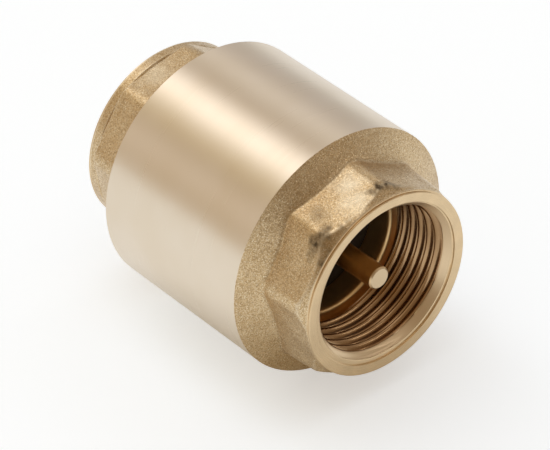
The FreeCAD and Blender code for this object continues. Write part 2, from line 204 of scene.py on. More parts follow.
def soft_min(a, b, width):
    """The lower of two heights, with a rounded change between them."""
    share = np.clip(0.5 + 0.5 * (b - a) / width, 0, 1)
    return b + (a - b) * share - width * share * (1 - share)


def soft_max(a, b, width):
    return -soft_min(-a, -b, width)


def finished_piece(name, points, faces, materials, slots, sharp):
    """An object from points in metres, smooth except at edges sharper than that many degrees."""
    mesh = bpy.data.meshes.new(name)
    mesh.from_pydata(points, [], faces)
    for material in materials:
        mesh.materials.append(material)
    mesh.polygons.foreach_set("material_index", slots)
    cleaned = bmesh.new()
    cleaned.from_mesh(mesh)
    loose = [v for v in cleaned.verts if not v.link_faces]
    bmesh.ops.delete(cleaned, geom=loose, context="VERTS")
    bmesh.ops.recalc_face_normals(cleaned, faces=cleaned.faces)
    cleaned.to_mesh(mesh)
    cleaned.free()
    mesh.shade_smooth()
    mesh.set_sharp_from_angle(angle=math.radians(sharp))
    piece = bpy.data.objects.new(name, mesh)
    bpy.context.scene.collection.objects.link(piece)
    return piece


class Skin:
    """A closed skin round the bore, built row by row. A row is one ring of points."""

    def __init__(self):
        self.points = []
        self.faces = []
        self.slots = []

    def row(self, along, radius):
        """Adds a ring of points and returns their numbers."""
        along = np.broadcast_to(along, ANGLES.shape)
        radius = np.broadcast_to(radius, ANGLES.shape)
        start = len(ANGLES) * len(self.points)
        ring = np.stack([along, radius * np.sin(ANGLES), radius * np.cos(ANGLES)], axis=1)
        self.points.append(ring * MM)
        return start + np.arange(len(ANGLES))

    def face(self, corners, slot):
        kept = list(dict.fromkeys(corners))
        if len(kept) > 2:
            self.faces.append(kept)
            self.slots.append(SLOTS[slot])

    def join(self, first, second, slot):
        for a, b, c, d in zip(first, np.roll(first, -1), np.roll(second, -1), second):
            self.face((int(a), int(b), int(c), int(d)), slot)

    def strip(self, rows, slot):
        for first, second in zip(rows, rows[1:]):
            self.join(first, second, slot)

    def finished(self, name, materials):
        points = np.concatenate(self.points).tolist()
        return finished_piece(name, points, self.faces, materials, self.slots, sharp=35)


# Forged ends


def forged_noise(along, radius, size, seed):
    """Smooth noise from -1 to 1 on the points of a row, with lumps of about that size."""
    values = []
    for x, r, angle in zip(np.broadcast_to(along, ANGLES.shape), radius, ANGLES):
        place = Vector((x, r * math.sin(angle), r * math.cos(angle))) / size
        values.append(noise.noise(place + Vector((seed, seed, seed))))
    return np.array(values)


def flat_lines(side):
    """Each flat's direction from the bore and its distance, from the corners it runs between."""
    corners = []
    for number in range(FLAT_COUNT):
        turn, rise = CORNER_SHIFTS[side].get(number, (0.0, 0.0))
        angle = math.radians(FLAT_TURN[side] + turn) + math.tau * number / FLAT_COUNT
        corners.append((CORNER_RADIUS + rise) * np.exp(1j * angle))
    lines = []
    for first, second in zip(corners, corners[1:] + corners[:1]):
        normal = (second - first) / abs(second - first) * -1j
        lines.append((np.angle(normal), (first * normal.conjugate()).real))
    return lines


def octagon_radius(side):
    """Distance from the axis of the flats, with rounded corners."""
    least_facing = 0.3
    out_of_reach = 99.0
    distances = []
    for direction, distance in flat_lines(side):
        facing = np.cos(ANGLES - direction)
        reach = distance / np.maximum(facing, least_facing)
        distances.append(np.where(facing > least_facing, reach, out_of_reach))
    nearest = np.sort(distances, axis=0)
    return soft_min(nearest[0], nearest[1], CORNER_ROUND)


def rim_radius(side):
    offset, degrees = RIM_OFFSET[side]
    return COLLAR_RADIUS + offset * toward(degrees)


def forged_collar(side):
    """The collar as forged. On one side it stands proud of the turned rim."""
    return rim_radius(side) + STEP_HEIGHT * np.maximum(0.0, toward(STEP_TURN))


def end_radius(depth, side, octagon):
    """The forged outside of one end. depth is the distance from the barrel's edge."""
    drafted = octagon - DRAFT * max(0.0, depth - DRAFT_START)
    lead_start = END_LENGTH - COLLAR_LENGTH[side]
    lead = COLLAR_RADIUS + (lead_start - depth) * (CORNER_RADIUS - COLLAR_RADIUS) / FLAT_LEAD[side]
    flats = soft_min(drafted, np.full_like(drafted, lead), LEAD_ROUND[side])
    body = soft_max(flats, forged_collar(side), LEAD_ROUND[side])
    crease = CREASE_DEPTH[side] * (1 - CREASE_CHANGE + CREASE_CHANGE * toward(CREASE_TURN))
    from_crease = (depth - lead_start - CREASE_PLACE) / CREASE_WIDTH
    body = body - crease * math.exp(-(from_crease**2))
    shoulder = np.full_like(octagon, BARREL_RADIUS - SHOULDER_SLOPE * depth)
    return soft_max(body, shoulder, SHOULDER_ROUND)


def dents(along, radius, side):
    """How deep the shallow dents are on the points of a row."""
    total = np.zeros_like(ANGLES)
    for place, degrees, width, depth in DENTS[side]:
        turn = (ANGLES - math.radians(degrees) + math.pi) % math.tau - math.pi
        away = (turn * radius) ** 2 + (along - place) ** 2
        total += depth * np.exp(-away / width**2)
    return total


def row_depths(side):
    """Where the rows of a forged end are, closer together across the crease."""
    length = END_LENGTH - FORGED_END
    depths = np.linspace(0.0, length, round(length / FORGED_ROW))
    if not CREASE_DEPTH[side]:
        return depths
    lead_start = END_LENGTH - COLLAR_LENGTH[side]
    near = depths[np.abs(depths - lead_start) < 3 * CREASE_WIDTH]
    fine = np.arange(near[0], near[-1], CREASE_ROW)
    before = depths[depths < fine[0]]
    after = depths[depths > fine[-1] + CREASE_ROW / 2]
    return np.concatenate([before, fine, after])


def end_rows(skin, side):
    """The outside of one end, from the barrel's edge to the start of the machined rim."""
    rows = []
    octagon = octagon_radius(side)
    for depth in row_depths(side):
        radius = end_radius(depth, side, octagon)
        along = (BARREL_FRONT + depth) * side
        fade = min(1.0, depth / LUMPS_FADE_IN) * min(1.0, (END_LENGTH - depth) / LUMPS_FADE_OUT)
        lumps = sum(height * forged_noise(along, radius, size, seed) for height, size, seed in LUMPS)
        shaped = radius + lumps * fade - dents(along, radius, side)
        below_barrel = BARREL_RADIUS - 0.2 * SHOULDER_SLOPE * depth
        rows.append(skin.row(along, np.minimum(shaped, below_barrel)))
    return rows


# Threaded sockets


def mouth_radius(side):
    """Where the thread's lead-in would meet the face."""
    return MOUTH_RADIUS + MOUTH_OFFSET[side] * toward(MOUTH_TURN)


def thread_radius(along, side):
    """Distance from the axis of the threaded wall, with rounded crests and roots."""
    turns = (along - HALF_LENGTH * side) / PITCH - (math.pi / 2 - ANGLES) / math.tau
    from_root = np.abs((turns + 0.5) % 1.0 - 0.5) * PITCH
    sharp = THREAD_MAJOR + WHITWORTH_CUT - from_root * WHITWORTH_HEIGHT / (PITCH / 2)
    wall = soft_min(sharp, np.full_like(sharp, THREAD_MAJOR), ROOT_ROUND)
    return soft_max(wall, np.full_like(sharp, THREAD_CREST), CREST_ROUND)


def join_helix(skin, rows, lead):
    """Faces between the thread's rows. Where the helix closes, the next column is one turn further on."""
    count, columns = rows.shape

    def point(row, column):
        return int(rows[min(max(row, 0), count - 1), column])

    for column in range(columns):
        following = (column + 1) % columns
        turn_on = ROWS_PER_TURN if lead[following] > lead[column] + PITCH / 2 else 0
        for row in range(-ROWS_PER_TURN, count + ROWS_PER_TURN):
            near = point(row, column), point(row + 1, column)
            far = point(row + 1 - turn_on, following), point(row - turn_on, following)
            skin.face(near + far, "thread")


def thread_block(skin, side, floor, top):
    """The thread between floor and top, whose rows follow the helix. Returns its rows at mouth and floor."""
    step = PITCH / ROWS_PER_TURN
    low, high = min(floor, top), max(floor, top)
    lead = PITCH * ((math.pi / 2 - ANGLES) / math.tau) % PITCH
    count = int((high - low + 2 * PITCH) / step) + ROWS_PER_TURN + 2
    start = HALF_LENGTH * side + PITCH * (math.floor((low - HALF_LENGTH * side) / PITCH) - 2)
    helix = start + step * np.arange(count)[:, None] + lead[None, :]
    rows = []
    for along in np.clip(helix, low, high):
        lead_in = mouth_radius(side) - (HALF_LENGTH - along * side)
        rows.append(skin.row(along, np.maximum(thread_radius(along, side), lead_in)))
    first = np.maximum((helix <= low).sum(axis=0) - 1, 0)
    last = np.minimum(count - (helix >= high).sum(axis=0), count - 1)
    kept = np.clip(np.arange(count)[:, None], first[None, :], last[None, :])
    rows = np.take_along_axis(np.array(rows), kept, axis=0)
    join_helix(skin, rows, lead)
    return (rows[-1], rows[0]) if side == INLET else (rows[0], rows[-1])


def socket(skin, side, face_edge):
    """The turned rim, face, counterbore, lead-in and thread. Returns the row at the socket's floor."""
    face = HALF_LENGTH * side
    rim = rim_radius(side)
    forged = forged_collar(side)
    bore = COUNTERBORE - COUNTERBORE_OFFSET[side] * toward(0.0)
    ledge = COUNTERBORE_DEPTH
    lead_in = mouth_radius(side) - ledge
    profile = (
        # step from the forging to the turned rim
        (RIM_LENGTH + 0.16, forged - 0.10),
        (RIM_LENGTH + 0.12, rim - 0.03 - 0.3 * (forged - rim)),
        (RIM_LENGTH + 0.06, rim - 0.04),
        # rim and its rounded edge
        (RIM_LENGTH, rim),
        (RIM_EDGE, rim),
        (RIM_EDGE - 0.10, rim - 0.08),
        (0.00, rim - RIM_EDGE_ROUND),
        # face
        (0.00, rim - 0.45),
        (0.00, (rim + bore) / 2),
        (0.00, bore + 0.07),
        # counterbore
        (0.05, bore),
        (ledge - 0.03, bore - 0.02),
        (ledge, bore - 0.06),
        # start of the lead-in
        (ledge + 0.01, np.minimum(lead_in + 0.05, bore - 0.1)),
        (ledge + 0.05, np.minimum(lead_in - 0.05, bore - 0.14)),
    )
    rows = [face_edge] + [skin.row(face - depth * side, radius) for depth, radius in profile]
    skin.strip(rows, "machined")
    mouth, floor = thread_block(skin, side, face - THREAD_DEPTH * side, face - THREAD_START * side)
    skin.join(rows[-1], mouth, "machined")
    return floor


# Pieces of the shell


def barrel_rows(skin):
    """The turned barrel, with a small edge at the rear and a sharp one at the front."""
    rows = [skin.row(BARREL_REAR, BARREL_RADIUS - BARREL_EDGE)]
    rows.append(skin.row(BARREL_REAR + BARREL_EDGE, BARREL_RADIUS))
    for along in np.linspace(BARREL_REAR + 0.5, BARREL_FRONT - 0.5, BARREL_ROWS):
        rows.append(skin.row(along, BARREL_RADIUS))
    rows.append(skin.row(BARREL_FRONT - 0.5 * BARREL_EDGE, BARREL_RADIUS))
    return rows


def passage_lip(skin, ledge):
    """The rounded step from the socket's floor into the passage."""
    rows = []
    for turn in np.linspace(0, math.pi / 2, LIP_ROWS):
        along = ledge - LIP_ROUND * (1 - math.cos(turn))
        rows.append(skin.row(along, PASSAGE_RADIUS + LIP_ROUND * (1 - math.sin(turn))))
    rows.append(skin.row(ledge - PASSAGE_LIP, PASSAGE_RADIUS))
    return rows


def make_inlet_body(materials):
    """The inlet end and the barrel, in one forging, with the seat and the chamber inside."""
    skin = Skin()
    barrel = barrel_rows(skin)
    forged = end_rows(skin, INLET)
    skin.strip(barrel, "turned")
    skin.join(barrel[-1], forged[0], "turned")
    skin.strip(forged, "blasted")
    floor = socket(skin, INLET, forged[-1])
    ledge = HALF_LENGTH - THREAD_DEPTH
    joint_end = BARREL_REAR + JOINT_LENGTH
    seat_out = SEAT_BORE + SEAT_WIDTH
    chamber_start = SEAT_FACE + SEAT_HEIGHT
    inside = [floor] + passage_lip(skin, ledge)
    inside += [
        skin.row(ledge - PASSAGE_LIP, SEAT_BORE),
        skin.row(SEAT_FACE + SEAT_EDGE, SEAT_BORE),
        skin.row(SEAT_FACE, SEAT_BORE + SEAT_EDGE),
        skin.row(SEAT_FACE, seat_out),
        skin.row(chamber_start, seat_out + SEAT_FLARE),
        skin.row(chamber_start, CHAMBER_RADIUS),
        skin.row(joint_end, CHAMBER_RADIUS),
        skin.row(joint_end, JOINT_RADIUS),
        skin.row(BARREL_REAR, JOINT_RADIUS),
        barrel[0],
    ]
    skin.strip(inside, "bore")
    return skin.finished("inlet_shell", materials)


def make_outlet_end(materials):
    """The outlet end, with the spigot that goes into the barrel and carries the O-ring."""
    skin = Skin()
    flange = BARREL_REAR
    tip = flange + SPIGOT_LENGTH
    first = skin.row(flange, BARREL_RADIUS - 0.1)
    forged = end_rows(skin, OUTLET)
    skin.join(first, forged[1], "blasted")
    skin.strip(forged[1:], "blasted")
    floor = socket(skin, OUTLET, forged[-1])
    throat = -HALF_LENGTH + THREAD_DEPTH
    pocket = tip - GUIDE_POCKET_DEPTH
    groove = flange + RING_GROOVE_START
    joint_end = flange + JOINT_LENGTH - JOINT_GAP
    inside = [
        floor,
        skin.row(throat, THROAT_RADIUS + THROAT_EDGE),
        skin.row(throat + THROAT_EDGE, THROAT_RADIUS),
        skin.row(throat + THROAT_LENGTH, THROAT_RADIUS),
        skin.row(pocket, LEDGE_RADIUS),
        skin.row(pocket, GUIDE_POCKET_RADIUS),
        skin.row(tip, GUIDE_POCKET_RADIUS),
        skin.row(tip, SPIGOT_RADIUS),
        skin.row(groove + RING_GROOVE_WIDTH, SPIGOT_RADIUS),
        skin.row(groove + RING_GROOVE_WIDTH, RING_GROOVE_FLOOR),
        skin.row(groove, RING_GROOVE_FLOOR),
        skin.row(groove, SPIGOT_RADIUS),
        skin.row(joint_end, SPIGOT_RADIUS),
        skin.row(joint_end, JOINT_RADIUS),
        skin.row(flange, JOINT_RADIUS),
        first,
    ]
    skin.strip(inside, "bore")
    return skin.finished("outlet_shell", materials)


# Spring


def coil_place(turn, start, length):
    """Place along the bore of the wire's centre after that many turns, with a closed coil at each end."""
    open_turns = SPRING_TURNS - 2
    open_pitch = (length - 2 * CLOSED_PITCH) / open_turns
    closed = min(turn, 1) + max(turn - SPRING_TURNS + 1, 0)
    opened = min(max(turn - 1, 0), open_turns)
    return start + closed * CLOSED_PITCH + opened * open_pitch


def make_spring(material):
    """The spring as it is with the valve shut."""
    low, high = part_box("spring")
    mean_radius = high.z / MM - WIRE_RADIUS
    length = (high.x - low.x) / MM - 2 * WIRE_RADIUS
    rings = SPRING_TURNS * STEPS_PER_COIL
    points = []
    for step in range(rings + 1):
        turn = step / STEPS_PER_COIL
        centre = coil_place(turn, low.x / MM + WIRE_RADIUS, length)
        for side in range(WIRE_SIDES):
            around = math.tau * side / WIRE_SIDES
            out = mean_radius + WIRE_RADIUS * math.cos(around)
            along = centre + WIRE_RADIUS * math.sin(around)
            angle = math.tau * turn
            points.append((along * MM, out * math.sin(angle) * MM, out * math.cos(angle) * MM))
    faces = []
    for ring in range(rings):
        for side in range(WIRE_SIDES):
            a = ring * WIRE_SIDES + side
            b = ring * WIRE_SIDES + (side + 1) % WIRE_SIDES
            faces.append((a, b, b + WIRE_SIDES, a + WIRE_SIDES))
    faces.append(tuple(range(WIRE_SIDES))[::-1])
    faces.append(tuple(rings * WIRE_SIDES + side for side in range(WIRE_SIDES)))
    return finished_piece("coil_spring", points, faces, [material], [0] * len(faces), sharp=50)


# Shader nodes


class Nodes:
    """Shader nodes being added to a tree. Scales of noise are per metre."""

    def __init__(self, tree):
        self.tree = tree

    def add(self, kind, **inputs):
        """A new node. Inputs are named with an underscore for each space."""
        node = self.tree.nodes.new(kind)
        for name, value in inputs.items():
            self.feed(node, name.replace("_", " "), value)
        return node

    def feed(self, node, name, value):
        target = node.inputs[name]
        if isinstance(value, bpy.types.NodeSocket):
            self.tree.links.new(value, target)
        else:
            target.default_value = value

    def math(self, operation, first, second=0.0):
        made = self.tree.nodes.new("ShaderNodeMath")
        made.operation = operation
        self.feed(made, 0, first)
        self.feed(made, 1, second)
        return made.outputs[0]

    def ranged(self, value, low, high, from_low=0.0, from_high=1.0, smooth=False):
        """low where the value is from_low, high where it is from_high, and held beyond them."""
        made = self.add("ShaderNodeMapRange")
        made.interpolation_type = "SMOOTHSTEP" if smooth else "LINEAR"
        for number, entry in enumerate((value, from_low, from_high, low, high)):
            self.feed(made, number, entry)
        return made.outputs[0]

    def spread(self, value, low, high):
        """low and high at the dark and the light parts of a noise."""
        return self.ranged(value, low, high, 0.3, 0.7)

    def mixed(self, share, first, second):
        made = self.tree.nodes.new("ShaderNodeMix")
        made.data_type = "RGBA"
        self.feed(made, 0, share)
        self.feed(made, 6, first)
        self.feed(made, 7, second)
        return made.outputs[2]

    def distance(self, first, second):
        made = self.tree.nodes.new("ShaderNodeVectorMath")
        made.operation = "DISTANCE"
        self.feed(made, 0, first)
        self.feed(made, 1, second)
        return made.outputs["Value"]

    def parts(self, vector):
        return self.add("ShaderNodeSeparateXYZ", Vector=vector).outputs


class Material(Nodes):
    """A material round one Principled shader."""

    def __init__(self, name):
        self.material = bpy.data.materials.new(name)
        self.material.use_nodes = True
        super().__init__(self.material.node_tree)
        self.shader = self.tree.nodes["Principled BSDF"]
        self.place = self.add("ShaderNodeTexCoord").outputs["Object"]

    def noise(self, scale, detail=2.0, roughness=0.5, vector=None):
        made = self.add("ShaderNodeTexNoise", Scale=scale, Detail=detail, Roughness=roughness)
        self.feed(made, "Vector", vector or self.place)
        return made.outputs["Fac"]

    def stretched_noise(self, scales, detail, roughness=0.5):
        """Noise with its own scale along each axis."""
        mapping = self.add("ShaderNodeMapping", Vector=self.place)
        mapping.inputs["Scale"].default_value = scales
        return self.noise(1.0, detail, roughness, mapping.outputs["Vector"])

    def tool_lines(self, scale):
        """Noise that runs round the bore, on bores and on faces alike."""
        x_for_radius = 0.73
        parts = self.parts(self.place)
        across = self.math("MULTIPLY", parts["Y"], parts["Y"])
        up = self.math("MULTIPLY", parts["Z"], parts["Z"])
        radius = self.math("SQRT", self.math("ADD", across, up))
        place = self.math("ADD", radius, self.math("MULTIPLY", parts["X"], x_for_radius))
        made = self.tree.nodes.new("ShaderNodeTexNoise")
        made.noise_dimensions = "1D"
        self.feed(made, "W", self.math("MULTIPLY", place, scale))
        self.feed(made, "Scale", 1.0)
        self.feed(made, "Detail", 3.0)
        return made.outputs["Fac"]

    def spot(self, along, degrees, radius, size, ragged=0.0):
        """1 at a place on the shell and 0 beyond that size, with a ragged edge."""
        angle = math.radians(degrees)
        centre = (along * MM, radius * math.sin(angle) * MM, radius * math.cos(angle) * MM)
        tear = self.spread(self.noise(480.0, 3.0, 0.55), -ragged * MM, ragged * MM)
        reach = self.math("ADD", self.distance(self.place, centre), tear)
        return self.ranged(reach, 1.0, 0.0, 0.0, size * MM)

    def spots(self, places, ragged):
        """The strongest of several spots at each point. Each place ends with the spot's strength."""
        strongest = 0.0
        for along, degrees, radius, size, strength in places:
            spot = self.spot(along, degrees, radius, size, ragged)
            strongest = self.math("MAXIMUM", strongest, self.math("MULTIPLY", spot, strength))
        return strongest

    def bump(self, height, distance, strength=1.0, normal=None):
        made = self.add("ShaderNodeBump", Height=height, Distance=distance, Strength=strength)
        if normal is not None:
            self.feed(made, "Normal", normal)
        return made.outputs["Normal"]

    def finish(self, **inputs):
        for name, value in inputs.items():
            self.feed(self.shader, name.replace("_", " "), value)
        return self.material


# Materials

# Dark oxide left on the forging: place along the bore, angle, distance from the axis, size, strength
SCUFFS = (
    (29.9, -35.5, 21.3, 1.7, 0.7),
    (29.6, -40.5, 21.2, 2.2, 1.1),
    (29.6, -45.0, 21.1, 2.3, 1.1),
    (29.6, -50.5, 20.9, 2.0, 0.8),
    (31.6, -26.0, 20.3, 1.2, 0.4),
    (31.5, -31.0, 20.3, 1.3, 0.5),
    (32.5, -44.0, 19.8, 1.2, 0.8),
    (32.5, -49.0, 19.7, 1.2, 0.8),
    (32.5, -54.5, 19.6, 1.1, 0.7),
    (30.1, -4.5, 21.4, 1.4, 0.9),
    (30.2, 0.0, 21.3, 1.5, 1.1),
    (30.5, 4.5, 21.1, 1.4, 1.0),
    (31.0, 9.0, 20.9, 1.2, 0.8),
    (31.4, 13.5, 20.8, 1.1, 0.7),
    # This broad faint mark is painted shade on the lower left of the top facet, not oxide.
    (25.8, -31.5, 21.0, 2.9, 0.42),
    (-28.6, 53.5, 21.6, 1.3, 0.5),
    (-28.8, 143.0, 21.6, 1.1, 0.6),
    (29.4, 137.0, 21.4, 1.2, 0.5),
)
SCUFF_RAGGED = 0.7
# Patches of painted highlight on the top facets, and a small pit on the shoulder, in the same order
TOP_FACET_HIGHLIGHTS = (
    (25.5, -9.0, 20.8, 4.0, 0.6),
    (29.3, -15.0, 20.8, 4.0, 0.6),
    (-28.0, -18.0, 20.8, 4.5, 0.5),
)
TOP_FACET_HIGHLIGHT_RAGGED = 1.0
PIT = (23.1, -67.3, 24.0, 0.42, 1.0)
# The painted highlight on the edges of the flats, from just outside the shoulder's foot
EDGE_HIGHLIGHT_FROM = 23.2
EDGE_HIGHLIGHT_FULLY = 24.2


def turned_barrel_brass():
    """Satin brass off the lathe: very fine lines round the barrel."""
    m = Material("turned_barrel_brass")
    lines = m.stretched_noise((6500, 35, 35), 3.0)
    bands = m.stretched_noise((700, 25, 25), 2.0)
    cloud = m.noise(90.0, 2.0)
    darker, lighter = (0.79, 0.68, 0.535, 1), (0.81, 0.705, 0.57, 1)
    colour = m.mixed(m.ranged(cloud, 0.0, 1.0, 0.35, 0.65), darker, lighter)
    rough = m.math("ADD", m.spread(lines, 0.275, 0.325), m.spread(bands, -0.01, 0.01))
    tangent = m.tree.nodes.new("ShaderNodeTangent")
    tangent.direction_type = "RADIAL"
    tangent.axis = "X"
    return m.finish(
        Base_Color=colour,
        Metallic=1.0,
        Roughness=rough,
        Normal=m.bump(lines, 0.0007 * MM),
        Anisotropic=0.5,
        Anisotropic_Rotation=0.25,
        Tangent=tangent.outputs[0],
    )


def forged_colour(m, grain, sand):
    """Mottled brass with dark hollows and bright grains, painted highlights on the edges and on the top
    facets, and painted shade in the creases.
    """
    darker, lighter = (0.56, 0.39, 0.20, 1), (0.65, 0.475, 0.265, 1)
    hollow, sparkle = (0.37, 0.24, 0.115, 1), (0.93, 0.82, 0.60, 1)
    painted_edge_highlight, painted_crease_shade, painted_top_highlight = (0.88, 0.77, 0.58, 1), (0.14, 0.10, 0.06, 1), (0.92, 0.82, 0.62, 1)
    mottled = m.mixed(m.ranged(m.noise(170.0, 3.0), 0.0, 1.0, 0.35, 0.65), darker, lighter)
    hollowed = m.mixed(m.ranged(grain, 0.7, 0.0, 0.36, 0.52), mottled, hollow)
    sparkling = m.mixed(m.ranged(sand, 0.0, 0.8, 0.51, 0.68), hollowed, sparkle)
    edge = m.add("ShaderNodeNewGeometry").outputs["Pointiness"]
    from_middle = m.math("ABSOLUTE", m.parts(m.place)["X"])
    off_shoulder = m.ranged(from_middle, 0.0, 0.7, EDGE_HIGHLIGHT_FROM * MM, EDGE_HIGHLIGHT_FULLY * MM)
    # Painted highlight: convex edges, found by pointiness, are lightened as if they caught the light.
    edge_highlight_share = m.math("MULTIPLY", m.ranged(edge, 0.0, 1.0, 0.508, 0.535), off_shoulder)
    edged = m.mixed(edge_highlight_share, sparkling, painted_edge_highlight)
    # Painted shade: hollow creases, found by pointiness, are darkened.
    crease_shaded = m.mixed(m.ranged(edge, 0.85, 0.0, 0.44, 0.485), edged, painted_crease_shade)
    # Painted highlight: patches on the top facets are lightened where the overhead light falls.
    return m.mixed(m.spots(TOP_FACET_HIGHLIGHTS, TOP_FACET_HIGHLIGHT_RAGGED), crease_shaded, painted_top_highlight)


def blasted_brass():
    """Forged and shot-blasted brass: fine grain, soft mottling, painted highlights on the edges and top
    facets, painted shade in the creases and a few dark oxide marks.
    """
    m = Material("blasted_brass")
    grain = m.noise(2600.0, 2.0, 0.6)
    sand = m.noise(5200.0, 2.0, 0.6)
    lumps = m.noise(900.0, 2.0)
    marks = m.math("MAXIMUM", m.spots((PIT,), 0.0), m.spots(SCUFFS, SCUFF_RAGGED))
    marks = m.math("MULTIPLY", marks, m.ranged(m.noise(1300.0, 4.0), 0.55, 1.25, 0.35, 0.6))
    oxide = (0.10, 0.07, 0.04, 1)
    return m.finish(
        Base_Color=m.mixed(marks, forged_colour(m, grain, sand), oxide),
        Metallic=1.0,
        Roughness=m.math("ADD", m.ranged(grain, 0.34, 0.25, 0.35, 0.65), m.math("MULTIPLY", marks, 0.2)),
        Normal=m.bump(lumps, 0.05 * MM, 0.8, m.bump(sand, 0.045 * MM)),
    )


def machined_brass(name, colour, rough):
    """Raw machined brass with fine tool lines round the axis."""
    m = Material(name)
    lines = m.tool_lines(9000.0)
    darker = tuple(c * 0.88 for c in colour) + (1,)
    return m.finish(
        Base_Color=m.mixed(m.spread(m.noise(240.0, 3.0), 0.0, 1.0), darker, colour + (1,)),
        Metallic=1.0,
        Roughness=m.spread(lines, rough - 0.05, rough + 0.09),
        Normal=m.bump(lines, 0.004 * MM),
    )


def thread_brass():
    """Cut thread, darker than the lead-in next to the face: its darker colour is partly cutting-oil stain and
    partly painted shade of the deep bore.
    """
    m = Material("thread_brass")
    darker, lighter, lead_in_colour = (0.43, 0.27, 0.14, 1), (0.51, 0.33, 0.175, 1), (0.80, 0.62, 0.40, 1)
    lines = m.tool_lines(9000.0)
    from_middle = m.math("ABSOLUTE", m.parts(m.place)["X"])
    lead_in = m.ranged(from_middle, 0.0, 1.0, (HALF_LENGTH - 2.2) * MM, (HALF_LENGTH - 1.4) * MM)
    cut = m.mixed(m.spread(m.noise(240.0, 3.0), 0.0, 1.0), darker, lighter)
    return m.finish(
        Base_Color=m.mixed(lead_in, cut, lead_in_colour),
        Metallic=1.0,
        Roughness=m.math("ADD", m.spread(lines, 0.17, 0.24), m.math("MULTIPLY", lead_in, 0.14)),
        Normal=m.bump(lines, 0.0015 * MM),
    )


def stem_brass():
    """Drawn brass rod, darker along its length than on its turned tip."""
    m = Material("stem_brass")
    darker, lighter, tip_colour = (0.60, 0.35, 0.12, 1), (0.70, 0.42, 0.16, 1), (0.72, 0.56, 0.36, 1)
    lines = m.tool_lines(11000.0)
    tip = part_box("stem")[1].x
    turned_tip = m.ranged(m.parts(m.place)["X"], 0.0, 1.0, tip - 0.5 * MM, tip - 0.1 * MM)
    rod = m.mixed(m.spread(m.noise(500.0, 3.0), 0.0, 1.0), darker, lighter)
    return m.finish(
        Base_Color=m.mixed(turned_tip, rod, tip_colour),
        Metallic=1.0,
        Roughness=m.spread(lines, 0.28, 0.34),
        Normal=m.bump(lines, 0.0015 * MM),
    )


def seal_rubber():
    """Matt black nitrile with a faint moulded grain."""
    m = Material("seal_rubber")
    grain = m.noise(1800.0, 3.0)
    return m.finish(
        Base_Color=m.mixed(m.noise(300.0), (0.020, 0.013, 0.009, 1), (0.034, 0.024, 0.017, 1)),
        Metallic=0.0,
        Roughness=m.ranged(grain, 0.6, 0.8),
        Normal=m.bump(grain, 0.002 * MM),
    )


def stainless_steel():
    """Drawn and stamped stainless steel with faint draw marks."""
    m = Material("stainless_steel")
    lines = m.noise(1500.0, 4.0)
    return m.finish(
        Base_Color=m.mixed(m.noise(400.0), (0.52, 0.51, 0.49, 1), (0.64, 0.63, 0.61, 1)),
        Metallic=1.0,
        Roughness=m.spread(lines, 0.22, 0.42),
        Normal=m.bump(lines, 0.004 * MM),
    )


# Studio, in metres

# Direction round the bore's axis from +Z towards -Y in degrees, and the light that comes from there
STUDIO = (
    (-180, (0.80, 0.79, 0.77)),
    (-120, (0.86, 0.93, 1.02)),
    (-90, (0.67, 0.68, 0.68)),
    (-70, (0.55, 0.52, 0.51)),
    (-54, (0.66, 0.62, 0.59)),
    (-42, (0.86, 0.82, 0.78)),
    (-26, (0.60, 0.54, 0.47)),
    (-15, (0.62, 0.55, 0.48)),
    (-5, (1.26, 1.22, 1.19)),
    (3, (1.56, 1.50, 1.45)),
    (10, (1.54, 1.48, 1.42)),
    (20, (1.00, 0.93, 0.82)),
    (31, (0.69, 0.59, 0.43)),
    (45, (0.61, 0.52, 0.41)),
    (60, (0.73, 0.64, 0.54)),
    (82, (0.62, 0.53, 0.42)),
    (110, (0.92, 0.89, 0.86)),
    (180, (0.80, 0.79, 0.77)),
)
# A ramp's colours stop at 1, so they are kept divided by this
STUDIO_GAIN = 2.0
# The light from beyond the inlet end, and how far towards +X a direction points where it begins and is full
END_LIGHT = (0.29, 0.22, 0.15)
END_LIGHT_FROM = -0.05
END_LIGHT_FULLY = 0.8
BACKDROP = (1.0, 1.0, 1.0)
# The floor's own glow and how much light it scatters, as the camera sees it and as the brass feels it
FLOOR_HALF_WIDTH = 6.0
FLOOR_GLOW = {"seen": 0.45, "felt": 0.47}
FLOOR_SHARE = {"seen": 0.86, "felt": 0.72}
FLOOR_TINT = (0.89, 0.99, 1.11)
# Painted shade and warm bounce light on the floor's glow near the brass, which the camera does not see: its
# colour, centre and reach
BRASS_BOUNCE = (0.33, 0.25, 0.15)
BOUNCE_CENTRE = (0.018, 0.002)
BOUNCE_FULLY = 0.016
BOUNCE_END = 0.052
# A strip light low on the right: its ends' directions, its distance, its width and its power in watts
STRIP_ENDS = ((0.862, 0.13, 0.488), (0.616, 0.705, 0.348))
STRIP_AWAY = 0.5
STRIP_WIDTH = 0.025
STRIP_POWER = 0.075
# Camera: its place, and the direction it comes from
CAMERA_PLACE = (0.4174, -0.3563, 0.3995)
CAMERA_AZIMUTH = 49.47
CAMERA_ELEVATION = 36.38
CAMERA_LENS = 229.4
CAMERA_SENSOR = 36.0


def opaque(colour, gain=1.0):
    return tuple(level / gain for level in colour) + (1,)


def studio_ramp(n, around):
    """The studio's light as a colour ramp, from 0 to 1 round the bore's axis."""
    ramp = n.add("ShaderNodeValToRGB", Fac=around)
    ramp.color_ramp.interpolation = "CARDINAL"
    stops = ramp.color_ramp.elements
    while len(stops) < len(STUDIO):
        stops.new(0.5)
    for stop, (degrees, light) in zip(stops, STUDIO):
        stop.position = degrees / 360 + 0.5
    for stop, (degrees, light) in zip(stops, STUDIO):
        stop.color = opaque(light, STUDIO_GAIN)
    return ramp.outputs["Color"]


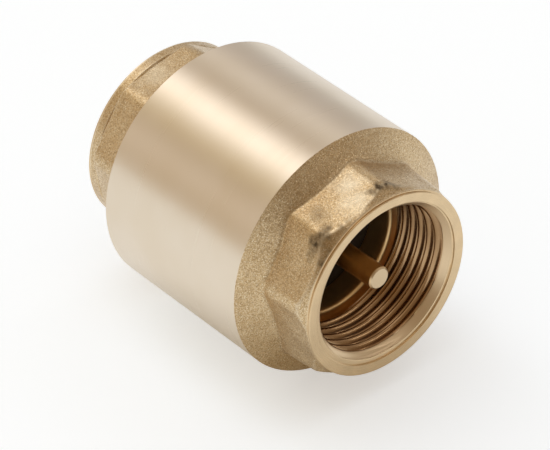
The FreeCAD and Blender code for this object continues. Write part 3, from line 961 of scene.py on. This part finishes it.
def make_world():
    """Soft light that changes round the bore's axis, with its own level beyond the inlet end."""
    world = bpy.data.worlds.new("studio")
    bpy.context.scene.world = world
    world.use_nodes = True
    world.node_tree.nodes.clear()
    n = Nodes(world.node_tree)
    direction = n.parts(n.add("ShaderNodeTexCoord").outputs["Generated"])
    angle = n.math("ARCTAN2", n.math("MULTIPLY", direction["Y"], -1.0), direction["Z"])
    around = n.math("ADD", n.math("DIVIDE", angle, math.tau), 0.5)
    ended = n.ranged(direction["X"], 0.0, 1.0, END_LIGHT_FROM, END_LIGHT_FULLY, smooth=True)
    light = n.mixed(ended, studio_ramp(n, around), opaque(END_LIGHT, STUDIO_GAIN))
    seen = n.add("ShaderNodeLightPath").outputs["Is Camera Ray"]
    shown = n.mixed(seen, light, opaque(BACKDROP, STUDIO_GAIN))
    background = n.add("ShaderNodeBackground", Color=shown, Strength=STUDIO_GAIN)
    n.add("ShaderNodeOutputWorld", Surface=background.outputs[0])


def floor_material(height):
    """Pale and matt, with a painted patch of shade and warm bounce near the brass that only the brass's
    reflections see.
    """
    material = bpy.data.materials.new("pale_floor")
    material.use_nodes = True
    material.node_tree.nodes.clear()
    n = Nodes(material.node_tree)
    seen = n.add("ShaderNodeLightPath").outputs["Is Camera Ray"]
    share = n.ranged(seen, FLOOR_SHARE["felt"], FLOOR_SHARE["seen"])
    matt = n.add("ShaderNodeBsdfDiffuse", Color=n.mixed(share, (0, 0, 0, 1), opaque(FLOOR_TINT)))
    place = n.add("ShaderNodeTexCoord").outputs["Object"]
    away = n.distance(place, BOUNCE_CENTRE + (height,))
    near = n.ranged(away, 0.0, 1.0, BOUNCE_END, BOUNCE_FULLY)
    # Painted shade: the glow near the valve is darkened and warmed for every ray but the camera's.
    felt_near = n.math("MULTIPLY", near, n.math("SUBTRACT", 1.0, seen))
    colour = n.mixed(felt_near, (1, 1, 1, 1), opaque(BRASS_BOUNCE))
    strength = n.ranged(seen, FLOOR_GLOW["felt"], FLOOR_GLOW["seen"])
    glow = n.add("ShaderNodeEmission", Color=colour, Strength=strength)
    both = n.add("ShaderNodeAddShader")
    n.feed(both, 0, matt.outputs[0])
    n.feed(both, 1, glow.outputs[0])
    n.add("ShaderNodeOutputMaterial", Surface=both.outputs[0])
    return material


def make_floor():
    half = FLOOR_HALF_WIDTH
    height = -BARREL_RADIUS * MM
    corners = [(-half, -half, height), (half, -half, height), (half, half, height), (-half, half, height)]
    mesh = bpy.data.meshes.new("floor")
    mesh.from_pydata(corners, [], [(0, 1, 2, 3)])
    mesh.materials.append(floor_material(height))
    floor = bpy.data.objects.new("floor", mesh)
    bpy.context.scene.collection.objects.link(floor)


def make_strip_light():
    """A strip light low on the right, which draws the thin glints on the thread."""
    first, second = (Vector(end).normalized() * STRIP_AWAY for end in STRIP_ENDS)
    lamp = bpy.data.lights.new("strip_light", "AREA")
    lamp.shape = "RECTANGLE"
    lamp.size = (second - first).length
    lamp.size_y = STRIP_WIDTH
    lamp.energy = STRIP_POWER
    holder = bpy.data.objects.new("strip_light", lamp)
    out = ((first + second) / 2).normalized()
    along = (second - first).normalized()
    holder.matrix_world = Matrix((along, out.cross(along), out)).transposed().to_4x4()
    holder.location = (first + second) / 2
    holder.visible_diffuse = False
    bpy.context.scene.collection.objects.link(holder)


def make_camera():
    camera = bpy.data.cameras.new("camera")
    camera.lens = CAMERA_LENS
    camera.sensor_width = CAMERA_SENSOR
    camera.clip_start = 0.01
    camera.clip_end = 20.0
    holder = bpy.data.objects.new("camera", camera)
    bpy.context.scene.collection.objects.link(holder)
    azimuth = math.radians(CAMERA_AZIMUTH)
    elevation = math.radians(CAMERA_ELEVATION)
    level = math.cos(elevation)
    forward = Vector((-math.sin(azimuth) * level, math.cos(azimuth) * level, -math.sin(elevation)))
    holder.location = CAMERA_PLACE
    holder.rotation_euler = forward.to_track_quat("-Z", "Y").to_euler()
    bpy.context.scene.camera = holder


# Assembly


def put_in_place(piece, node):
    """The piece rides on the shell and stands in for that CAD node."""
    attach(piece, "shell")
    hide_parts(node)


machined = machined_brass("machined_brass", (0.79, 0.60, 0.365), 0.27)
rubber = seal_rubber()
steel = stainless_steel()
shell_materials = [
    turned_barrel_brass(),
    blasted_brass(),
    machined,
    thread_brass(),
    machined_brass("bored_brass", (0.88, 0.61, 0.30), 0.34),
]
put_in_place(make_inlet_body(shell_materials), "inlet_body")
put_in_place(make_outlet_end(shell_materials), "outlet_end")

spring = make_spring(steel)
put_in_place(spring, "spring")
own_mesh(spring)

CAD_MATERIALS = {
    "body_o_ring": rubber,
    "inlet_guide": machined,
    "outlet_guide": machined,
    "stem": stem_brass(),
    "valve_disc": machined,
    "seat_seal": rubber,
    "seal_retainer": machined,
    "lock_washer": steel,
    "disc_nut": steel,
    "spring_washer": steel,
}
for node, material in CAD_MATERIALS.items():
    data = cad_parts[node].data
    data.materials.clear()
    data.materials.append(material)

make_world()
make_floor()
make_strip_light()
make_camera()
bpy.context.scene.view_settings.view_transform = "Standard"
